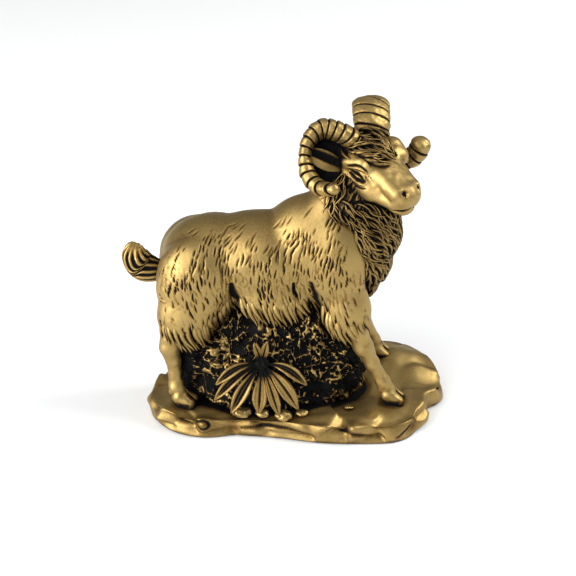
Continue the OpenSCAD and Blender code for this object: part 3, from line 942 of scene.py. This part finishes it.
# Each row of a leg: a point and the radius there, from the body down to the fetlock.
leg_piece("foreleg_near", [0.86, -0.1, -0.35],
          [[17, -10.3, 41, 4.2], [18.8, -10.6, 35, 3.8], [21.4, -11, 29, 3.1],
           [24.5, -11, 22.5, 2.2], [28, -11, 15.6, 2.3], [30, -10.8, 12, 2.5]])
leg_piece("foreleg_far", [0.86, -0.1, -0.35],
          [[17.5, 9.8, 41, 4], [19.4, 10.6, 33, 3.4], [21.8, 11.9, 27, 2.9], [24.3, 13.3, 20, 2.2],
           [26, 14.4, 16, 2.4], [26.9, 15, 13.6, 2.5]])
leg_piece("hind_leg_near", [0.9, -0.25, -0.25],
          [[-37.5, -10, 38, 5], [-40.4, -10.8, 32.5, 3.6], [-41.3, -11, 29, 3.3],
           [-40.4, -11, 24, 2.4], [-39.9, -11, 19, 2.1], [-39.5, -11.5, 14.5, 2.4],
           [-38.4, -12, 11.8, 2.3]])
leg_piece("hind_leg_far", [0.9, 0.1, -0.25],
          [[-38, 9, 38, 5], [-41, 9, 32, 3.5], [-42, 9, 28, 3], [-41.2, 9, 20, 2.3],
           [-40.4, 9, 14.4, 2.5], [-39, 9, 11.6, 2.4]])

# %% Tail
TAIL_ROWS, TAIL_COLUMNS, TAIL_GROOVES = 130, 110, 11
rows = spline([[-42.5, 0, 51.6, 2.6], [-46.5, 0.3, 51.4, 3.9], [-50.2, 0.8, 52.6, 4.5],
               [-52.3, 1, 56, 4.0], [-52.4, 1, 59.2, 2.6], [-52.0, 1, 60.6, 0.5]], TAIL_ROWS)
tail = sweep(rows[:, :3], rows[:, 3], rows[:, 3], Z - X, TAIL_COLUMNS)
turn = turns(TAIL_COLUMNS)
s = np.linspace(0, 1, TAIL_ROWS)[:, None]
comb = np.cos(turn * TAIL_GROOVES + 3.0 * s + 0.4 * np.sin(s * 9))
tail.height = 0.42 * comb * np.sin(math.pi * np.clip(s, 0.02, 1))**0.5
inner = ramp(np.sin(turn), -0.35, 0.35)
tail.wash = ramp(-comb, -0.45 - 0.4 * inner, 0.6) * ramp(s, 0.97, 0.7) * (0.6 + 0.7 * inner)
tail.wash = np.clip(tail.wash, 0, 1)
finish_skin("tail_grooved", tail.settle(1.0), gold, "tail")

# %% [markdown]
# ## Thicket
# The lump that carries the belly imitates dense brush: a curly net of ridges round dark pits,
# with small knobs between. The ridges follow the zero lines of lattice noise whose places are
# bent by more noise, so they branch and never repeat. Only ridges and knobs take gold, and the
# rear end takes none.

# %% Thicket
thicket_lumps = [mass(-35.5, -1.0, 18.5, 6.8, 11.2, 21), mass(3, -1.5, 35, 11, 9.5, 9),
                 mass(-20, -4, 30, 7, 8.5, 13), mass(-21, -2.5, 18, 14.5, 12.6, 16),
                 mass(-6, -3, 22, 20, 14.2, 20), mass(9, -2, 20, 14.5, 13, 18),
                 mass(-8, -6, 12, 27, 12, 8)]
THICKET_FOOT = 3.0
thicket = cast(pressed(thicket_lumps, 1.0), [[-24, -2.5, 19], [9, -2.5, 19]], 36, 208, 308, 50)


def creased(p, size, seed):
    """Curly net: 1 on the zero lines of bent lattice noise, falling off to 0 beside them."""
    p = p + 0.35 * size * np.stack([lattice_noise(p, size * 0.6, seed + k) for k in (1, 2, 3)], -1)
    return np.exp(-(lattice_noise(p, size, seed) / 0.12)**2)


place = thicket.grid
vein = np.maximum(creased(place, 2.9, 31), 0.9 * creased(place, 1.7, 37))
bias = 0.5 * ramp(place[..., 2], 24, 36) - 0.15 * ramp(place[..., 0], -12, 4)
crowded = ramp(lattice_noise(place, 5, 41) + bias, -0.7, 0.2)
knob = np.clip(lattice_noise(place, 1.2, 45) - 0.35, 0, 1) * 2.2
thicket.height = 1.2 * vein * (0.35 + 0.65 * crowded) + 1.0 * knob - 1.0
thicket.height += 1.7 * lattice_noise(place, 5.5, 47) + 0.9 * lattice_noise(place, 2.6, 48)
bright = np.maximum(vein * crowded, knob * (0.6 + 0.6 * lattice_noise(place, 3, 51)))
thicket.wash = np.clip(1.2 - 1.55 * bright, 0, 1.2)
thicket.wash = np.maximum(thicket.wash, 1.2 * ramp(place[..., 0], -33, -36))
thicket.settle(3.0)
thicket.grid[..., 2] = np.maximum(thicket.grid[..., 2], THICKET_FOOT)
finish_skin("thicket_netted", thicket, dark_gold, "thicket")

# %% [markdown]
# ## Plant
# Leaves are swept along arched paths out of one crown, and taper to a point. Four have a broad
# dark gutter with a thin bright vein in it, and the others only a dark groove down the middle.
# Their rims are raised, and wash gathers where they leave the crown.

# %% Leaves
CROWN = np.array([-11.4, -17.6, 26.6])
# Each leaf: its angle in degrees, length, fall, half width, and whether it has a gutter.
leaf_plan = [(197, 14.6, 1.5, 1.7, 1), (213, 17.4, 1.5, 1.8, 1), (236, 17.0, 1.2, 2.2, 1),
             (266, 14.4, 0.6, 2.5, 0), (289, 16.2, 0.6, 1.9, 0), (311, 17.0, 1.0, 2.4, 0),
             (342, 14.4, 1.5, 1.8, 1), (80, 9.6, 0.8, 1.3, 0), (104, 9.2, 0.8, 1.3, 0)]
LEAF_ROWS, LEAF_SIDES = 60, 44
leaf_turn = turns(LEAF_SIDES)
leaf_out, leaf_top = np.abs(np.cos(leaf_turn)), np.sin(leaf_turn) > 0
for number, (angle, length, fall, half, gutter) in enumerate(leaf_plan, 1):
    s = np.linspace(0, 1, LEAF_ROWS)[:, None]
    bend = math.radians(angle)
    away = np.array([math.cos(bend), 0.17 * math.sin(bend), 0.98 * math.sin(bend)])
    bow = 2.6 * abs(math.cos(bend)) * np.sin(math.pi * s)
    path = CROWN + away * (0.8 + length * s) + Z * (bow - s**2)
    path = path - Y * (2.0 * np.sin(math.pi * 0.62 * s) + fall * s**2)
    widest = s[:, 0]**(1.6 if length > 10 else 0.8)
    taper = np.sin(math.pi * (0.02 + 0.96 * widest)) * 0.95 + 0.05
    leaf = sweep(path, half * taper, 0.25 + 0.35 * taper, -Y + 0.3 * Z, LEAF_SIDES)
    rim = np.exp(-((leaf_out - 0.8) / 0.16)**2)
    vein = np.exp(-(leaf_out / 0.13)**2)
    trough = np.exp(-(leaf_out / 0.45)**4) if gutter else vein
    swell = 0.35 * rim - (0.75 if gutter else 0.45) * trough + 0.35 * gutter * vein
    leaf.height = np.where(leaf_top, swell, 0) * taper[:, None]
    shade = np.where(leaf_top, trough * (0.95 - 0.7 * gutter * vein), 0.3)
    leaf.wash = np.clip(shade * ramp(1 - s, 0.03, 0.25) + 1.3 * np.exp(-(s / 0.24)**2) + 0.22, 0, 1)
    leaf.height += 0.08 * lattice_noise(leaf.grid, 1.3, 55)
    finish_skin(f"leaf_{number}_gutter", leaf.settle(3.0), gold, f"leaf_{number}")
bud = pressed([mass(*CROWN, 2.4, 1.8, 2.4)], 0.3)
crown = cast(bud, [CROWN - X * 0.4, CROWN + X * 0.4], 6, 6, 60, 16)
crown.height += 0.4 * lattice_noise(crown.grid, 0.9, 56)
crown.wash += 0.9
finish_skin("leaf_crown_bud", crown.settle(), dark_gold, "leaf_crown")

# %% [markdown]
# ## Rock base
# The rock is a profile carried round its outline: up from the underside, over the rim and in to
# the middle. Its top rises towards the far right corner. Broken faces are small tilted planes,
# folds come from stretched noise, and a few lumps, pits and grooves stand in named places. It
# stays level under the hooves, and wash gathers under the brush.

# %% Rock
outline = [[-50.5, -5], [-48.5, -11], [-42, -18.5], [-32, -22], [-19, -21], [-6, -22.5],
           [7.5, -25.2], [21, -25.8], [32, -25], [38.5, -21], [41.3, -14], [43, -7], [49.5, -1],
           [50.3, 6], [48, 12.5], [43, 20.5], [36, 24.5], [27, 25.8], [12, 25.3], [-4, 24.3],
           [-20, 22.5], [-34, 19], [-43, 12], [-47.5, 4]]
EDGE_STEPS, side_steps, top_steps = 560, 34, 84
edge = spline([row + [0] for row in outline + outline[:1]], EDGE_STEPS + 1)[:-1, :2]
bulge = 0.975 + 0.025 * np.sin(np.linspace(0, math.pi, side_steps))
share = np.concatenate([[0.5, 0.9, 0.965], bulge, np.linspace(0.965, 0.03, top_steps)])
rise = np.concatenate([[0, 0, 0], np.linspace(0.02, 0.96, side_steps), np.full(top_steps, 1.0)])
flat = share[:, None, None] * edge
top = ROCK_TOP + 3.5 * ramp(flat[..., 0], 15, 35) * ramp(flat[..., 1], 0, 15)
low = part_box("rock_base")[0].z / MM
rock = Skin(np.concatenate([flat, (low + rise[:, None] * (top - low))[..., None]], -1),
            np.array([[0, 0, low], [0, 0, ROCK_TOP]]))
wall = (ramp(rise, 0.0, 0.3) * (share > 0.9))[:, None]
inner = (rise == 1.0)[:, None] * np.ones((1, EDGE_STEPS))


def chipped(p, count, tilt, seed):
    """Broken faces: each seed point has its own tilted plane, and the nearest few are blended."""
    chooser = np.random.default_rng(seed)
    seeds = np.stack([chooser.uniform(-52, 52, count), chooser.uniform(-27, 27, count),
                      chooser.uniform(0, 10, count)], 1)
    slope, step = chooser.normal(0, tilt, (count, 3)), chooser.normal(0, 0.7, count)
    total, weight = np.zeros(p.shape[:2]), np.zeros(p.shape[:2])
    for seed_point, plane, level in zip(seeds, slope, step):
        away = p - seed_point
        w = np.exp(-((away * away).sum(-1)) / 9.0)
        total, weight = total + w * (level + away @ plane), weight + w
    return np.clip(total / np.maximum(weight, 1e-12), -2.5, 2.5)


faces = chipped(rock.grid, 130, 0.22, 5)
folds = 1 - 2 * np.abs(lattice_noise(rock.grid * np.array([0.5, 0.5, 1.1]), 8, 41))
HOOVES = ((-38, -12), (-39, 9), (31, -11), (28, 15))
standing = sum(np.exp(-((rock.grid[..., 0] - x)**2 + (rock.grid[..., 1] - y)**2) / 40.0)
               for x, y in HOOVES).clip(0, 1)
near_rim = (ramp(share, 0.76, 0.97) * rise)[:, None]
rim_drop = (1.8 + 0.5 * np.sign(edge[:, 1])) * near_rim * (1 - standing)
rock.grid[..., 2] -= rim_drop * (0.7 + 0.3 * lattice_noise(rock.grid * np.array([1, 1, 0]), 11, 46))
on_wall = faces + 0.8 * folds + 0.15 * lattice_noise(rock.grid, 2.6, 42) - 1.1
on_top = 0.45 * faces + 0.4 * folds + 0.1 * lattice_noise(rock.grid, 2.6, 44) - 0.5
rock.height = wall * on_wall * (rise < 1)[:, None] + inner * (1 - standing) * on_top
LUMPS_AND_PITS = ((-29.5, -21.5, 5.0, 2.6, 1.0), (-21, -21.5, 2.0, 2.4, -0.9),
                  (38.5, -20.5, 4.5, 3.0, -0.8))
for x, y, z, size, push in LUMPS_AND_PITS:
    near = np.exp(-((rock.grid - np.array([x, y, z]))**2).sum(-1) / size**2)
    rock.height += push * near
    rock.wash += 0.38 * near
rock.normal = rock.find_normal()
rock.line([[-33, -21.5, 6.4], [-31, -22, 7.4], [-28.8, -22, 6.2], [-29.6, -22, 4.2],
           [-32, -21.5, 4.2], [-33.2, -21.5, 6]], 0.6, 0.8, 1.0)
rock.line([[-18, -22, 3.2], [-11, -22.5, 4.6], [-4, -23, 4.4], [3, -24.5, 3.4]], 0.9, 0.8, 0.7)
rock.line([[14, -25.5, 5.6], [20, -25.8, 4.2], [24, -25.6, 2.2]], 0.9, 0.7, 0.6)
rock.line([[33, -25, 2.4], [36.5, -23, 4.2], [38.6, -21, 6.2]], 0.9, 0.8, 0.8)
from_brush = np.hypot((rock.grid[..., 0] + 9) / 31.5, (rock.grid[..., 1] + 2.4) / 15.6)
rock.wash = np.maximum(ramp(from_brush, 1.12, 0.98) * inner, rock.wash)
rock.wash = np.maximum(rock.wash, 0.45 * wall * ramp(folds, -0.1, -0.9)) + 0.1 * wall
rock.settle(12.0)
rock.grid[..., 2] = np.maximum(rock.grid[..., 2], low)
finish_skin("rock_folded", rock, gold, "rock_base")

# %% Pebbles
pebble_spots = [(-18, -18.2, 2.5), (-11.5, -18.8, 1.8), (-4.5, -20.0, 2.3), (1.5, -19.0, 1.7),
                (17, -15.5, 1.1)]
for number, (x, y, r) in enumerate(pebble_spots):
    middle = np.array([x, y, ROCK_TOP + 0.1])
    lump = mass(*middle, r * 1.25, r, r * 0.75)
    pebble = cast(pressed([lump], 0.3), [middle - X * 0.3, middle + X * 0.3], 5, 5, 48, 16)
    pebble.height = 0.35 * lattice_noise(pebble.grid, 1.1, 60 + number)
    stands_for = ["pebbles"] if number == 0 else []
    finish_skin(f"pebble_{number + 1}", pebble.settle(), gold, *stands_for)

# %% [markdown]
# ## Hidden pieces
# The felt pad is pressed wool: no gloss and a short nap. The wires, dowel and pins are drawn steel.

# %% Felt and steel
felt, tree, shader, place = new_material("pressed_wool_felt")
fibres = noise(tree, place, 0.3, 4.0)
greens = {6: linear("16241B"), 7: linear("2B3C30")}
tint = add_node(tree, "ShaderNodeMix", {"data_type": "RGBA"}, greens, {0: fibres})
tree.links.new(tint.outputs[2], shader.inputs["Base Color"])
shader.inputs["Roughness"].default_value = 0.95
bumped(tree, shader, fibres, 0.6, 0.2)

steel, tree, shader, place = new_material("drawn_steel_wire")
scratches = noise(tree, place, 0.15, 2.0)
tree.links.new(ranged(tree, scratches, 0.22, 0.4), shader.inputs["Roughness"])
shader.inputs["Base Color"].default_value = linear("B4B6BA")
shader.inputs["Metallic"].default_value = 1.0
for node in ("felt_pad", "foreleg_wires", "hind_leg_wires", "neck_dowel", "horn_pins", "tail_pin"):
    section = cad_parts[node]
    section.data.materials.clear()
    section.data.materials.append(felt if node == "felt_pad" else steel)

# %% [markdown]
# ## Stage, light and camera
# White paper, a large soft light above and to the left with a small low one beside it, a small one
# from the right and a weak one overhead. The world adds a faint cool light from all round.

# %% Floor
bpy.ops.mesh.primitive_plane_add(size=6.0, location=(0, 0, 0))
floor = bpy.context.object
floor.name = "paper_floor"
paper, _, shader, _ = new_material("white_paper")
shader.inputs["Base Color"].default_value = linear("F4F5F4")
shader.inputs["Roughness"].default_value = 0.9
floor.data.materials.append(paper)

# %% Lights
world = bpy.data.worlds.new("studio")
world.use_nodes = True
surround = world.node_tree.nodes["Background"]
surround.inputs["Color"].default_value = (0.95, 0.97, 1.0, 1)
surround.inputs["Strength"].default_value = 0.35
bpy.context.scene.world = world
MIDDLE = np.array([-3.0, 6.0, 41.0])


def soft_light(name, direction, away, size, power):
    """Square area light of that size, that far from the figurine, turned towards it."""
    lamp = bpy.data.objects.new(name, bpy.data.lights.new(name, "AREA"))
    lamp.data.size = size
    lamp.data.energy = power
    bpy.context.scene.collection.objects.link(lamp)
    place = unit(np.array(direction, float))
    lamp.location = MIDDLE * MM + place * away
    lamp.rotation_euler = Vector(place).to_track_quat("Z", "Y").to_euler()


soft_light("key", (-0.8, -0.8, 0.6), 0.9, 1.1, 11)
soft_light("fill", (-0.9, -0.55, 0.12), 0.9, 0.5, 7.5)
soft_light("side", (0.85, 0.0, 0.7), 0.9, 0.5, 7)
soft_light("top", (0.0, 0.1, 1.0), 1.1, 0.9, 0.9)

# %% Camera
ELEVATION, DISTANCE, LENS = math.radians(30), 520, 98.6
back = np.array([0, -math.cos(ELEVATION), math.sin(ELEVATION)])
camera = bpy.data.objects.new("camera", bpy.data.cameras.new("camera"))
camera.data.lens = LENS
camera.data.clip_start = 0.01
bpy.context.scene.collection.objects.link(camera)
camera.location = (MIDDLE + back * DISTANCE) * MM
camera.rotation_euler = (math.pi / 2 - ELEVATION, 0, 0)
bpy.context.scene.camera = camera
bpy.context.scene.view_settings.view_transform = "Standard"
